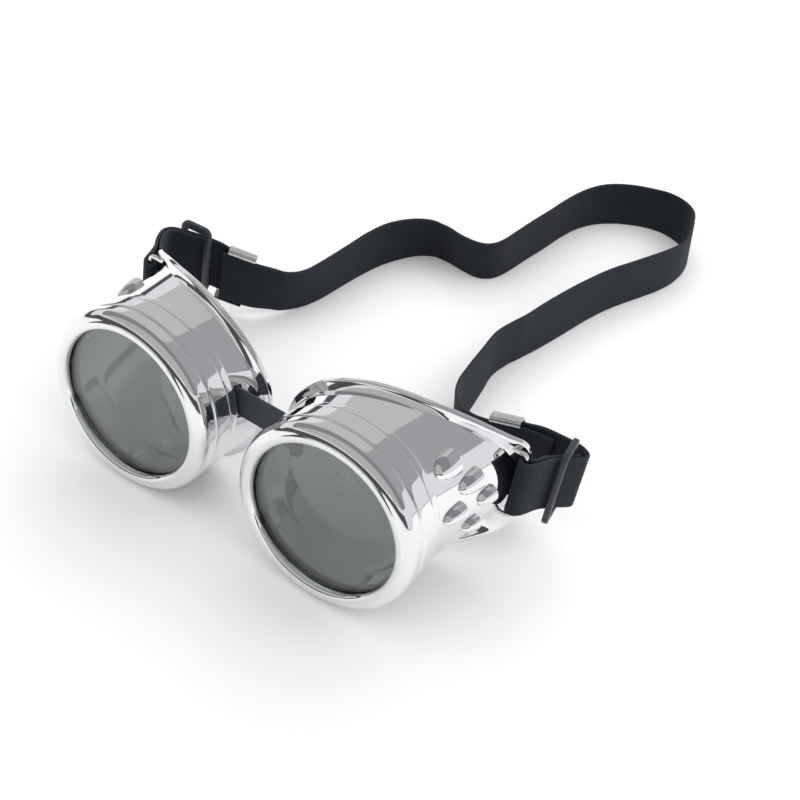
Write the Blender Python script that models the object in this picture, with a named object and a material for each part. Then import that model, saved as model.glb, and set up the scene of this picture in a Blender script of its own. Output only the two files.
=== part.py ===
"""Round two-eye welding goggles: moulded chrome eyecups with screw-on lens rings.

Frame: +X is the wearer's left, -Y is the way the wearer looks, +Z is up. The part
stands on the lowest points of its two lens rings and of its elastic head strap.
Lengths below are in millimetres and are turned into metres by MM. Each eyecup is
described in cup coordinates: a is outward from the lens axis to the temple, b is up,
and y runs back from the front of the lens opening.
"""

import math

import bmesh
import bpy
from mathutils import Vector

MM = 0.001

# Driving dimensions.
LENS_SPACING = 71.2
CUP_X = LENS_SPACING / 2.0
RING_RADIUS = 29.5
FLOOR_Z = -RING_RADIUS
GAP = 0.3
ROUND_SEGMENTS = 48

# Lens stack, front to back.
LENS_RADIUS = 25.0
COVER_LENS_Y = (1.2, 2.3)
COVER_STEP = (23.7, 0.15)
FILTER_LENS_Y = (2.6, 4.6)
GASKET_Y = (4.9, 5.9)
GASKET_INNER_RADIUS = 23.4

# Turned section of the lens ring, as (radius, y).
RING_PROFILE = (
    (24.0, 1.0), (24.0, 0.1), (24.7, -0.8), (26.2, -1.3), (27.8, -0.9), (28.9, 0.3),
    (29.5, 2.0), (29.4, 4.6), (28.9, 5.4), (28.9, 6.0), (29.3, 6.6), (29.3, 11.6),
    (28.9, 12.1), (27.0, 12.1), (27.0, 5.9), (25.4, 5.9), (25.4, 1.0),
)

# Eyecup: round threaded spigot in front, face-shaped flared rim behind.
SPIGOT_PROFILE = (
    (24.4, 6.2), (26.4, 6.2), (26.7, 6.5), (26.7, 12.4), (28.6, 12.4), (28.9, 12.7),
    (28.9, 14.8), (28.1, 15.6),
)
BORE_PROFILE = ((26.3, 16.0), (24.4, 13.5))
RIM_TOP_HALF = (
    (-32.5, 0.0), (-31.5, 8.5), (-27.5, 16.5), (-20.0, 24.2), (-10.0, 29.4), (0.0, 30.7),
    (10.0, 29.0), (20.0, 25.4), (29.0, 20.4), (34.0, 16.7), (36.5, 8.5), (37.2, 0.0),
)
WALL_TOP_HALF = (
    (-30.6, 0.0), (-29.4, 8.0), (-25.6, 15.3), (-18.6, 22.0), (-9.5, 26.8), (0.0, 28.2),
    (10.0, 26.6), (18.0, 23.2), (25.0, 18.4), (30.0, 12.2), (32.8, 6.0), (33.6, 0.0),
)
LOWER_HALF_HEIGHT = 0.958
RIM_DEPTH = (29.3, 10.1, 8.3)
RIM_DEPTH_UNIT = 30.0
LIP_DEPTH = 3.6
WALL_THICKNESS = 1.8
OUTLINE_STEPS = 2

# Slot for the nose bridge, as (a, y, b) ranges in cup coordinates.
NOSE_SLOT = ((-29.5, -22.2), (16.3, 18.9), (1.8, 12.2))

# Strap lug, a bar that stands off the temple wall in front of the rim: its y range and
# its (a, b) outline.
LUG_Y = (47.3, 48.5)
LUG_OUTLINE = (
    (26.6, 15.85), (36.2, 15.85), (36.2, -9.15), (29.8, -9.15),
    (29.8, -7.85), (35.0, -7.85), (35.0, 14.55), (26.6, 14.55),
)

# Hooded vents on the temple wall: angle from +a in degrees, rear edge y, length, width.
VENTS = (
    (40.0, 26.9, 8.5, 8.2), (23.0, 33.5, 8.6, 7.0), (8.5, 38.6, 6.5, 6.0),
    (11.0, 25.2, 8.0, 6.0), (-5.5, 33.1, 6.0, 5.5),
)
VENT_HEIGHT = 2.6
VENT_SKIN = 0.9
VENT_ROOT_DEPTH = 1.2
VENT_CUT_DEPTH = 4.0
VENT_RINGS = 5
VENT_COLUMNS = 16

# Nose bridge strip and the crimps that keep its ends inside the cups.
BRIDGE_Y = 17.6
BRIDGE_Z = 7.0
BRIDGE_WIDTH = 9.6
BRIDGE_THICKNESS = 1.2
BRIDGE_HALF_LENGTH = 16.4
CRIMP_X = (13.4, 16.1)
CRIMP_WALL = 0.5

# Elastic webbing.
WEB_WIDTH = 20.0
WEB_THICKNESS = 1.1
WEB_STEP = 5.0
SIDE_STEP = 2.4

# Head strap, left clip round to right clip: x, y, height of its lower edge above the
# floor, and lean of its upper edge in degrees.
HEAD_ROUTE = (
    (69.0, 75.9, 12.5, 0), (64.5, 76.6, 11.6, 0), (59.5, 76.8, 10.8, 0),
    (54.6, 76.3, 9.8, 0), (49.5, 75.5, 8.6, 0), (44.5, 75.6, 7.4, 0),
    (40.5, 77.5, 5.9, -2), (36.3, 81.8, 4.0, -5), (31.2, 89.2, 1.8, -8),
    (27.8, 98.0, 0.5, -9), (26.3, 107.5, 0.0, -10), (23.8, 121.4, 0.0, -8),
    (21.4, 133.8, 0.0, -5), (21.9, 144.3, 0.0, -3), (23.7, 153.0, 0.0, -4),
    (26.2, 166.0, 0.0, -8), (28.6, 182.0, 0.0, -9), (30.5, 196.0, 0.0, -7.5),
    (33.2, 210.6, 0.0, -6), (36.9, 224.0, 0.0, -4.5), (41.0, 236.5, 0.0, -5),
    (44.3, 248.0, 0.0, -5), (46.0, 260.0, 0.0, -3), (45.8, 272.0, 0.0, -7),
    (43.0, 284.0, 0.0, -8), (37.5, 293.0, 0.0, -3), (30.0, 297.8, 0.0, 2),
    (22.0, 299.0, 0.0, 4), (14.0, 296.3, 0.0, 3.5), (6.5, 291.0, 0.0, 6),
    (0.0, 283.8, 0.0, 7), (-4.6, 275.5, 0.0, 5), (-7.6, 265.0, 0.0, 3),
    (-9.0, 252.0, 0.0, 2.5), (-9.6, 238.0, 0.0, 2), (-10.7, 222.0, 0.0, 1),
    (-11.5, 207.0, 0.0, 0), (-13.5, 197.0, 0.0, -5), (-18.2, 192.3, 0.0, -15),
    (-25.5, 192.3, 0.0, -18), (-33.5, 193.4, 0.0, -17), (-40.2, 192.4, 0.0, -16),
    (-45.3, 187.6, 0.0, -10), (-49.0, 179.5, 0.0, -3), (-52.0, 168.5, 0.0, 1),
    (-53.5, 155.0, 0.0, 0), (-54.0, 142.0, 0.0, -2.5), (-54.3, 130.0, 0.0, -4),
    (-55.3, 121.7, 0.0, -7), (-57.1, 114.9, 0.3, -11), (-59.2, 108.7, 1.2, -12),
    (-61.8, 104.2, 2.5, -9), (-64.9, 99.5, 3.7, -4), (-68.6, 96.3, 4.6, -1),
    (-74.2, 93.3, 5.8, 0), (-76.2, 92.2, 6.2, 0),
)

# Side straps, tail end to clip end: x, y and height of the webbing's middle.
LEFT_SIDE_ROUTE = (
    (80.1, 69.1, -1.9), (78.0, 65.5, -1.2), (75.7, 61.4, -0.3), (74.4, 58.0, 0.9),
    (73.8, 55.4, 2.0), (73.6, 53.6, 2.6), (73.5, 52.2, 3.0), (73.0, 50.7, 3.3),
    (72.2, 49.8, 3.5), (71.2, 49.5, 3.5), (70.07, 49.03, 3.5), (69.6, 47.9, 3.5),
    (70.07, 46.77, 3.5), (71.2, 46.3, 3.5), (72.5, 46.8, 3.5), (73.7, 48.3, 3.4),
    (74.6, 50.6, 3.1), (75.3, 54.0, 2.3), (76.1, 58.0, 0.9), (77.6, 61.9, -0.5),
    (79.6, 65.4, -1.3), (80.8, 67.5, -1.9), (81.9, 70.0, -2.6), (81.3, 73.0, -3.2),
    (78.6, 75.3, -3.7), (74.8, 76.4, -4.2), (71.0, 77.0, -4.7), (64.5, 78.0, -5.9),
    (59.5, 78.3, -7.5), (54.6, 77.8, -8.7), (49.5, 76.9, -9.9),
)
RIGHT_SIDE_ROUTE = (
    (-79.4, 89.85, -9.4), (-82.5, 87.3, -8.4), (-85.0, 85.3, -7.6), (-88.2, 82.6, -6.6),
    (-89.9, 80.2, -5.7), (-89.9, 77.3, -5.0), (-87.6, 72.7, -3.8), (-84.0, 67.5, -2.5),
    (-80.2, 62.9, -1.2), (-76.8, 59.1, 0.2), (-74.7, 56.4, 1.3), (-73.8, 54.2, 2.0),
    (-73.5, 52.2, 2.4), (-73.0, 50.7, 2.7), (-72.2, 49.8, 2.8), (-71.2, 49.5, 2.8),
    (-70.07, 49.03, 2.8), (-69.6, 47.9, 2.8), (-70.07, 46.77, 2.8), (-71.2, 46.3, 2.8),
    (-72.5, 46.8, 2.8), (-73.8, 48.3, 2.7), (-75.1, 50.8, 2.4), (-76.8, 54.2, 1.6),
    (-79.1, 58.2, 0.5), (-81.8, 62.2, -0.9), (-85.3, 66.6, -2.4), (-88.9, 71.9, -3.8),
    (-91.4, 76.9, -4.9), (-91.4, 80.8, -5.6), (-89.2, 83.7, -6.4), (-85.4, 86.8, -7.5),
    (-81.2, 90.2, -9.0), (-77.8, 93.0, -10.6), (-74.9, 94.6, -12.0), (-71.5, 96.4, -13.2),
    (-67.6, 98.8, -14.6),
)

# Adjuster sliders: point and direction of the webbing run through the window, the
# side of the run that the first bar lies on, and the tilt of the frame to the run.
SLIDER_HEIGHT = 28.0
SLIDER_WIDTH = 12.8
SLIDER_THICKNESS = 2.0
SLIDER_BAR = 2.4
SLIDER_END = 2.8
SLIDER_BEVEL = 0.45
SLIDER_CORNER = 3.0
SLIDER_OFFSET = -0.77
SLIDERS = {
    "left": ((78.79, 63.99, -0.95), (0.5, 0.866, -0.2), 1.0, 37.5),
    "right": ((-84.9, 87.2, -7.7), (0.775, 0.632, -0.26), -1.0, 36.0),
}

# Strap clips: a steel plate behind both webbing layers, folded over them at top and
# bottom. The section is (out of the webbing's face, up).
CLIP_LENGTH = 10.5
CLIP_SECTION = (
    (2.5, -11.6), (2.5, 11.6), (-2.5, 11.6), (-2.5, 9.7), (-2.0, 9.7),
    (-2.0, 11.1), (2.0, 11.1), (2.0, -11.1), (-1.2, -11.1), (-1.2, -11.6),
)
CLIPS = {
    "left": ((54.5, 77.05, -9.2), (-0.99, -0.13, -0.22)),
    "right": ((-71.85, 95.4, -13.7), (-0.881, -0.472, 0.2)),
}

SIDES = {"right": -1.0, "left": 1.0}
MATERIALS = {
    "chrome": ((0.82, 0.83, 0.84, 1.0), 0.05, 1.0),
    "clear_lens": ((0.62, 0.68, 0.66, 0.35), 0.02, 0.0),
    "filter_glass": ((0.10, 0.13, 0.12, 0.75), 0.03, 0.0),
    "gasket_rubber": ((0.015, 0.016, 0.017, 1.0), 0.6, 0.0),
    "webbing": ((0.016, 0.021, 0.028, 1.0), 0.9, 0.0),
    "bridge_strap": ((0.03, 0.035, 0.045, 1.0), 0.6, 0.0),
    "slider_plastic": ((0.025, 0.03, 0.036, 1.0), 0.45, 0.0),
    "clip_steel": ((0.66, 0.67, 0.68, 1.0), 0.25, 1.0),
}


def clear_scene():
    """Empty the scene that the script is run in."""
    for obj in list(bpy.data.objects):
        bpy.data.objects.remove(obj, do_unlink=True)


def make_material(name):
    """Principled material from the colour table."""
    color, roughness, metallic = MATERIALS[name]
    material = bpy.data.materials.new(name)
    material.use_nodes = True
    shader = material.node_tree.nodes["Principled BSDF"]
    shader.inputs["Base Color"].default_value = color
    shader.inputs["Roughness"].default_value = roughness
    shader.inputs["Metallic"].default_value = metallic
    shader.inputs["Alpha"].default_value = color[3]
    return material


def add_object(name, verts, faces, material, parent=None):
    """Make one closed mesh object from points in millimetres."""
    mesh = bpy.data.meshes.new(name)
    mesh.from_pydata([Vector(v) * MM for v in verts], [], faces)
    work = bmesh.new()
    work.from_mesh(mesh)
    bmesh.ops.recalc_face_normals(work, faces=work.faces)
    bmesh.ops.triangulate(work, faces=work.faces)
    work.to_mesh(mesh)
    work.free()
    mesh.shade_smooth()
    mesh.set_sharp_from_angle(angle=math.radians(35.0))
    obj = bpy.data.objects.new(name, mesh)
    bpy.context.collection.objects.link(obj)
    if material is not None:
        mesh.materials.append(material)
    obj.parent = parent
    return obj


def add_empty(name, location, parent=None):
    """Joint or placement frame, at a world position in millimetres."""
    empty = bpy.data.objects.new(name, None)
    bpy.context.collection.objects.link(empty)
    empty.location = Vector(location) * MM
    empty.parent = parent
    return empty


def loft_ring(rows):
    """Faces of a ring whose rows of points are joined into closed columns."""
    count = len(rows[0])
    verts = [point for row in rows for point in row]
    faces = []
    for i in range(len(rows)):
        here = i * count
        after = ((i + 1) % len(rows)) * count
        for j in range(count):
            k = (j + 1) % count
            faces.append((here + j, here + k, after + k, after + j))
    return verts, faces


def loft_solid(rows):
    """Faces of a solid lofted through closed rows, with flat ends."""
    count = len(rows[0])
    verts = [point for row in rows for point in row]
    faces = [tuple(range(count)), tuple(range(len(verts) - 1, len(verts) - 1 - count, -1))]
    for i in range(len(rows) - 1):
        for j in range(count):
            k = (j + 1) % count
            faces.append((i * count + j, i * count + k, (i + 1) * count + k, (i + 1) * count + j))
    return verts, faces


def circle_row(radius, y, angles):
    """Points of a circle round the lens axis, at the given angles."""
    return [(radius * math.cos(t), y, radius * math.sin(t)) for t in angles]


def even_angles(count):
    """Evenly spaced angles of a full turn."""
    return [2.0 * math.pi * i / count for i in range(count)]


def blend_point(p0, p1, p2, p3, t):
    """Catmull-Rom point between p1 and p2, of any dimension."""
    out = []
    for q0, q1, q2, q3 in zip(p0, p1, p2, p3):
        linear = (q2 - q0) * t
        square = (2.0 * q0 - 5.0 * q1 + 4.0 * q2 - q3) * t * t
        cubic = (3.0 * q1 - q0 - 3.0 * q2 + q3) * t ** 3
        out.append(0.5 * (2.0 * q1 + linear + square + cubic))
    return tuple(out)


def closed_outline(top_half):
    """Closed smooth outline from its upper half, with a slightly shallower lower half."""
    lower = [(a, -b * LOWER_HALF_HEIGHT) for a, b in reversed(top_half[1:-1])]
    points = list(top_half) + lower
    count = len(points)
    out = []
    for i in range(count):
        around = (points[i - 1], points[i], points[(i + 1) % count], points[(i + 2) % count])
        out += [blend_point(*around, step / OUTLINE_STEPS) for step in range(OUTLINE_STEPS)]
    return out


def inset_outline(outline, distance):
    """Outline moved inward along its own normals."""
    count = len(outline)
    out = []
    for i, (a, b) in enumerate(outline):
        before = outline[i - 1]
        after = outline[(i + 1) % count]
        tangent = Vector((after[0] - before[0], after[1] - before[1])).normalized()
        normal = Vector((-tangent.y, tangent.x))
        if normal.dot(Vector((a, b))) > 0.0:
            normal = -normal
        out.append((a + normal.x * distance, b + normal.y * distance))
    return out


def rim_y(a):
    """Depth of the face rim, which sweeps back towards the temple."""
    u = a / RIM_DEPTH_UNIT
    return RIM_DEPTH[0] + RIM_DEPTH[1] * u + RIM_DEPTH[2] * u * u


def mix_rows(row, other, part):
    """Row a given part of the way from one row to another."""
    return [tuple(p + (q - p) * part for p, q in zip(*pair)) for pair in zip(row, other)]


def cup_rows():
    """All rows of the eyecup, front spigot, wall, rim and back inside."""
    rim = closed_outline(RIM_TOP_HALF)
    wall = closed_outline(WALL_TOP_HALF)
    angles = [math.atan2(b, a) for a, b in rim]
    depth = [rim_y(a) for a, _ in rim]

    def row(outline, inset, offset):
        """Outline row at a given inset, offset in y from the rim."""
        moved = inset_outline(outline, inset)
        return [(a, y + offset, b) for (a, b), y in zip(moved, depth)]

    front = [circle_row(r, y, angles) for r, y in SPIGOT_PROFILE]
    bore = [circle_row(r, y, angles) for r, y in BORE_PROFILE]
    wall_end = row(wall, 0.0, -LIP_DEPTH)
    inner_end = row(wall, WALL_THICKNESS, -LIP_DEPTH + 0.2)
    rows = front
    rows += [mix_rows(front[-1], wall_end, part) for part in (1.0 / 3.0, 2.0 / 3.0)]
    rows += [wall_end, row(rim, 1.1, -2.7), row(rim, 0.0, -2.2), row(rim, 0.0, -0.5)]
    rows += [row(rim, 0.6, 0.0), row(rim, 1.9, 0.0), row(rim, 2.4, -0.6), inner_end]
    rows += [mix_rows(inner_end, bore[0], 0.5)] + bore
    return rows


def wall_point(theta, y):
    """Point and outward direction on the outside of the eyecup wall."""
    rim = closed_outline(RIM_TOP_HALF)
    wall = closed_outline(WALL_TOP_HALF)
    columns = list(zip(rim, wall))
    columns.sort(key=lambda pair: abs(math.remainder(math.atan2(*reversed(pair[1])) - theta, math.tau)))
    (rim_a, _), (wall_a, wall_b) = columns[0]
    reach = math.hypot(wall_a, wall_b)
    start_r, start_y = SPIGOT_PROFILE[-1]
    end_y = rim_y(rim_a) - LIP_DEPTH
    part = (y - start_y) / (end_y - start_y)
    radius = start_r + (reach - start_r) * part
    radial = Vector((math.cos(theta), 0.0, math.sin(theta)))
    along = (radial * (reach - start_r) + Vector((0.0, end_y - start_y, 0.0))).normalized()
    sideways = Vector((-radial.z, 0.0, radial.x))
    outward = sideways.cross(along).normalized()
    if outward.dot(radial) < 0.0:
        outward = -outward
    return radial * radius + Vector((0.0, y, 0.0)), along, sideways, outward


def cutter_object(name, pieces, side, parent):
    """Hidden shape for a Boolean, from separate closed pieces of (verts, faces)."""
    work = bmesh.new()
    for verts, faces in pieces:
        made = [work.verts.new(Vector((x * side, y, z)) * MM) for x, y, z in verts]
        for face in faces:
            work.faces.new([made[i] for i in face])
    bmesh.ops.recalc_face_normals(work, faces=work.faces)
    bmesh.ops.triangulate(work, faces=work.faces)
    mesh = bpy.data.meshes.new(name)
    work.to_mesh(mesh)
    work.free()
    obj = bpy.data.objects.new(name, mesh)
    bpy.context.collection.objects.link(obj)
    obj.hide_render = True
    obj.display_type = "WIRE"
    obj.parent = parent
    return obj


def combine(target, other, operation):
    """Exact Boolean of another object onto the target."""
    modifier = target.modifiers.new(other.name, "BOOLEAN")
    modifier.operation = operation
    modifier.solver = "EXACT"
    modifier.object = other


def box_piece(ranges):
    """Box from (a, y, b) ranges."""
    (a0, a1), (y0, y1), (b0, b1) = ranges
    front = [(a0, y0, b0), (a1, y0, b0), (a1, y0, b1), (a0, y0, b1)]
    back = [(a, y1, b) for a, _, b in front]
    return loft_solid([front, back])


def vent_piece(vent, skin, root_depth, past_edge):
    """Half-dome vent hood, open side to the rear."""
    theta, rear_y, length, width = vent
    centre, along, sideways, outward = wall_point(math.radians(theta), rear_y)
    rows = []
    for ring in range(VENT_RINGS):
        lap = 0.5 * math.pi * ring / VENT_RINGS
        forward = math.sin(lap) * (length - skin) if ring else -past_edge
        row = []
        for turn in even_angles(VENT_COLUMNS):
            across = math.cos(lap) * math.cos(turn) * (width / 2.0 - skin)
            rise = VENT_HEIGHT - skin if math.sin(turn) > 0.0 else root_depth
            lift = math.cos(lap) * math.sin(turn) * rise
            row.append(tuple(centre - along * forward + sideways * across + outward * lift))
        rows.append(row)
    return loft_solid(rows)


def make_eyecup(name, side, parent, material):
    """One eyecup with its strap slots and hooded vents."""
    verts, faces = loft_ring(cup_rows())
    verts = [(x * side, y, z) for x, y, z in verts]
    cup = add_object(name, verts, faces, material, parent)
    lug = loft_solid([[(a, y, b) for a, b in LUG_OUTLINE] for y in LUG_Y])
    combine(cup, cutter_object(f"{name}_strap_lug", [lug], side, parent), "UNION")
    hoods = [vent_piece(vent, 0.0, VENT_ROOT_DEPTH, 0.0) for vent in VENTS]
    combine(cup, cutter_object(f"{name}_hoods", hoods, side, parent), "UNION")
    hollows = [vent_piece(vent, VENT_SKIN, VENT_CUT_DEPTH, 0.5) for vent in VENTS]
    combine(cup, cutter_object(f"{name}_hollows", hollows, side, parent), "DIFFERENCE")
    slot = cutter_object(f"{name}_nose_slot", [box_piece(NOSE_SLOT)], side, parent)
    combine(cup, slot, "DIFFERENCE")
    return cup


def make_lens_ring(name, parent, material):
    """Screw-on ring that clamps the lenses against the cup."""
    angles = even_angles(ROUND_SEGMENTS)
    verts, faces = loft_ring([circle_row(r, y, angles) for r, y in RING_PROFILE])
    return add_object(name, verts, faces, material, parent)


def make_disc(name, section, parent, material):
    """Round lens from its (radius, y) section, front to back."""
    angles = even_angles(ROUND_SEGMENTS)
    verts, faces = loft_solid([circle_row(r, y, angles) for r, y in section])
    return add_object(name, verts, faces, material, parent)


def lens_sections():
    """Sections of the cover lens, stepped at its edge, and of the plain filter lens."""
    front, back = COVER_LENS_Y
    face_radius, step = COVER_STEP
    cover = ((face_radius, front), (face_radius, front + step))
    cover += ((LENS_RADIUS, front + step), (LENS_RADIUS, back))
    return cover, [(LENS_RADIUS, y) for y in FILTER_LENS_Y]


def make_gasket(name, parent, material):
    """Flat rubber ring behind the lenses."""
    angles = even_angles(ROUND_SEGMENTS)
    front, back = GASKET_Y
    section = ((GASKET_INNER_RADIUS, front), (LENS_RADIUS, front))
    section += ((LENS_RADIUS, back), (GASKET_INNER_RADIUS, back))
    verts, faces = loft_ring([circle_row(r, y, angles) for r, y in section])
    return add_object(name, verts, faces, material, parent)


def box_row(x, y_range, z_range):
    """Rectangle of points across the nose bridge."""
    return [(x, y_range[0], z_range[0]), (x, y_range[1], z_range[0]),
            (x, y_range[1], z_range[1]), (x, y_range[0], z_range[1])]


def bridge_ranges(margin):
    """Section of the nose bridge strip, grown by a margin."""
    half_y = BRIDGE_THICKNESS / 2.0 + margin
    half_z = BRIDGE_WIDTH / 2.0 + margin
    return ((BRIDGE_Y - half_y, BRIDGE_Y + half_y), (BRIDGE_Z - half_z, BRIDGE_Z + half_z))


def make_nose_bridge(name, parent, material):
    """Flexible strip between the two cups."""
    count = 10
    rows = []
    for i in range(count + 1):
        x = BRIDGE_HALF_LENGTH * (2.0 * i / count - 1.0)
        rows.append(box_row(x, *bridge_ranges(0.0)))
    verts, faces = loft_solid(rows)
    return add_object(name, verts, faces, material, parent)


def make_bridge_clip(name, side, parent, material):
    """Crimp that stops the strip's end from pulling out of the cup."""
    near, far = (x * side for x in CRIMP_X)
    outer = bridge_ranges(GAP + CRIMP_WALL)
    inner = bridge_ranges(GAP)
    rows = [box_row(near, *outer), box_row(far, *outer), box_row(far, *inner), box_row(near, *inner)]
    verts, faces = loft_ring(rows)
    return add_object(name, verts, faces, material, parent)


def smooth_route(points, step):
    """Points about a step apart on a smooth open curve through the route."""
    first = tuple(2.0 * p - q for p, q in zip(points[0], points[1]))
    last = tuple(2.0 * p - q for p, q in zip(points[-1], points[-2]))
    padded = [first] + list(points) + [last]
    out = []
    for i in range(1, len(padded) - 2):
        length = (Vector(padded[i + 1][:3]) - Vector(padded[i][:3])).length
        count = max(1, round(length / step))
        out += [blend_point(*padded[i - 1:i + 3], k / count) for k in range(count)]
    return out + [tuple(points[-1])]


def web_rows(points):
    """Rows of the webbing's four corners, from lower-edge points with their lean."""
    rows = []
    for i, (x, y, z, lean) in enumerate(points):
        before = points[max(i - 1, 0)]
        after = points[min(i + 1, len(points) - 1)]
        tangent = Vector((after[0] - before[0], after[1] - before[1])).normalized()
        across = Vector((tangent.y, -tangent.x, 0.0))
        tilt = math.radians(lean)
        rise = Vector((0.0, 0.0, math.cos(tilt))) + across * math.sin(tilt)
        side = (across * math.cos(tilt) - Vector((0.0, 0.0, math.sin(tilt)))) * (WEB_THICKNESS / 2.0)
        low = Vector((x, y, max(z, FLOOR_Z + abs(side.z))))
        high = low + rise * WEB_WIDTH
        rows.append([tuple(low - side), tuple(low + side), tuple(high + side), tuple(high - side)])
    return rows


def make_head_strap(name, parent, material):
    """Long elastic strap round the back of the head."""
    points = [(x, y, FLOOR_Z + lift, lean) for x, y, lift, lean in smooth_route(HEAD_ROUTE, WEB_STEP)]
    verts, faces = loft_solid(web_rows(points))
    return add_object(name, verts, faces, material, parent)


def make_side_strap(name, route, parent, material):
    """Short strap through a cup's temple slot and its slider."""
    half = WEB_WIDTH / 2.0
    points = [(x, y, z - half, 0.0) for x, y, z in smooth_route(route, SIDE_STEP)]
    verts, faces = loft_solid(web_rows(points))
    return add_object(name, verts, faces, material, parent)


def run_frame(direction):
    """Unit vectors along a run of webbing, up across it, and out of its face."""
    along = Vector(direction).normalized()
    up = (Vector((0, 0, 1)) - along * along.z).normalized()
    return along, up, along.cross(up)


def frame_points(origin, axes, points):
    """Local points placed on three axes about an origin."""
    return [tuple(Vector(origin) + sum((a * c for a, c in zip(axes, p)), Vector())) for p in points]


def slider_frame(where):
    """Centre, axes and slide direction of an adjuster slider."""
    point, direction, outside, tilt = SLIDERS[where]
    along = Vector(direction).normalized()
    up = Vector((0, 0, 1))
    level = Vector((along.x, along.y, 0)).normalized()
    outward = level.cross(up) * outside
    angle = math.radians(tilt)
    across = level * math.cos(angle) - outward * math.sin(angle)
    centre = Vector(point) + outward * SLIDER_OFFSET
    return centre, (across, up, across.cross(up)), along


def rounded_rectangle(half_width, half_height, corner):
    """Rectangle outline with cut corners, as (width, height) points."""
    out = []
    for sx, sy in ((1, 1), (-1, 1), (-1, -1), (1, -1)):
        corners = [(sx * half_width, sy * (half_height - corner)),
                   (sx * (half_width - corner), sy * half_height)]
        out += corners if sx * sy > 0 else corners[::-1]
    return out


def make_slider(name, where, parent, material):
    """Rectangular plastic adjuster with one window."""
    centre, axes, _ = slider_frame(where)
    half_w = SLIDER_WIDTH / 2.0
    half_h = SLIDER_HEIGHT / 2.0
    half_t = SLIDER_THICKNESS / 2.0
    bevel = SLIDER_BEVEL
    layers = (
        (0.0, -half_t + bevel), (bevel, -half_t), (SLIDER_BAR - bevel, -half_t),
        (SLIDER_BAR, -half_t + bevel), (SLIDER_BAR, half_t - bevel), (SLIDER_BAR - bevel, half_t),
        (bevel, half_t), (0.0, half_t - bevel),
    )
    end_ratio = SLIDER_END / SLIDER_BAR
    rows = []
    for inset, depth in layers:
        part = inset / SLIDER_BAR
        corner = SLIDER_CORNER + (SLIDER_BEVEL - SLIDER_CORNER) * part
        outline = rounded_rectangle(half_w - inset, half_h - inset * end_ratio, corner)
        rows.append(frame_points(centre, axes, [(w, h, depth) for w, h in outline]))
    verts, faces = loft_ring(rows)
    return add_object(name, verts, faces, material, parent)


def make_clip(name, where, parent, material):
    """Folded steel clip that holds two layers of webbing together."""
    centre, direction = CLIPS[where]
    along, up, face = run_frame(direction)
    rows = []
    for end in (-CLIP_LENGTH / 2.0, CLIP_LENGTH / 2.0):
        rows.append(frame_points(centre, (face, up, along), [(w, h, end) for w, h in CLIP_SECTION]))
    verts, faces = loft_solid(rows)
    return add_object(name, verts, faces, material, parent)


def stand_on_origin(frame):
    """Move the goggles so that the middle of their base is at the origin."""
    bpy.context.view_layer.update()
    corners = []
    for obj in bpy.data.objects:
        if obj.type == "MESH" and not obj.hide_render:
            corners += [obj.matrix_world @ vert.co for vert in obj.data.vertices]
    for axis, pick in ((0, 0.5), (1, 0.5), (2, 0.0)):
        values = [corner[axis] for corner in corners]
        frame.location[axis] -= min(values) + (max(values) - min(values)) * pick
    bpy.context.view_layer.update()


def build_eye(side_name, side, frame, materials):
    """Everything carried by one eyecup."""
    lens_axis = add_empty(f"lens_axis_{side_name}", (CUP_X * side, 0.0, 0.0), frame)
    make_eyecup(f"eyecup_{side_name}", side, lens_axis, materials["chrome"])
    make_lens_ring(f"lens_ring_{side_name}", lens_axis, materials["chrome"])
    cover, tinted = lens_sections()
    make_disc(f"cover_lens_{side_name}", cover, lens_axis, materials["clear_lens"])
    make_disc(f"filter_lens_{side_name}", tinted, lens_axis, materials["filter_glass"])
    make_gasket(f"lens_gasket_{side_name}", lens_axis, materials["gasket_rubber"])
    make_bridge_clip(f"bridge_clip_{side_name}", side, frame, materials["clip_steel"])
    make_slider(f"strap_slider_{side_name}", side_name, frame, materials["slider_plastic"])
    make_clip(f"strap_clip_{side_name}", side_name, frame, materials["clip_steel"])


def build():
    """Build the goggles."""
    clear_scene()
    materials = {name: make_material(name) for name in MATERIALS}
    frame = add_empty("goggles_frame", (0.0, 0.0, 0.0))
    for side_name, side in SIDES.items():
        build_eye(side_name, side, frame, materials)
    make_nose_bridge("nose_bridge", frame, materials["bridge_strap"])
    make_head_strap("head_strap", frame, materials["webbing"])
    make_side_strap("side_strap_left", LEFT_SIDE_ROUTE, frame, materials["webbing"])
    make_side_strap("side_strap_right", RIGHT_SIDE_ROUTE, frame, materials["webbing"])
    stand_on_origin(frame)


build()
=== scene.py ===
"""Looks of the welding goggles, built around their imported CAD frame.

Lengths are in millimetres in goggle coordinates: x to the wearer's left, y back from the
lens openings, z up, zero midway between the lens centres. place() puts them in the frame.
Inside an eyecup, a is outward from the lens axis to the temple and b is up.
"""

import math

import bmesh
import bpy
from mathutils import Matrix, Vector


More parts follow.
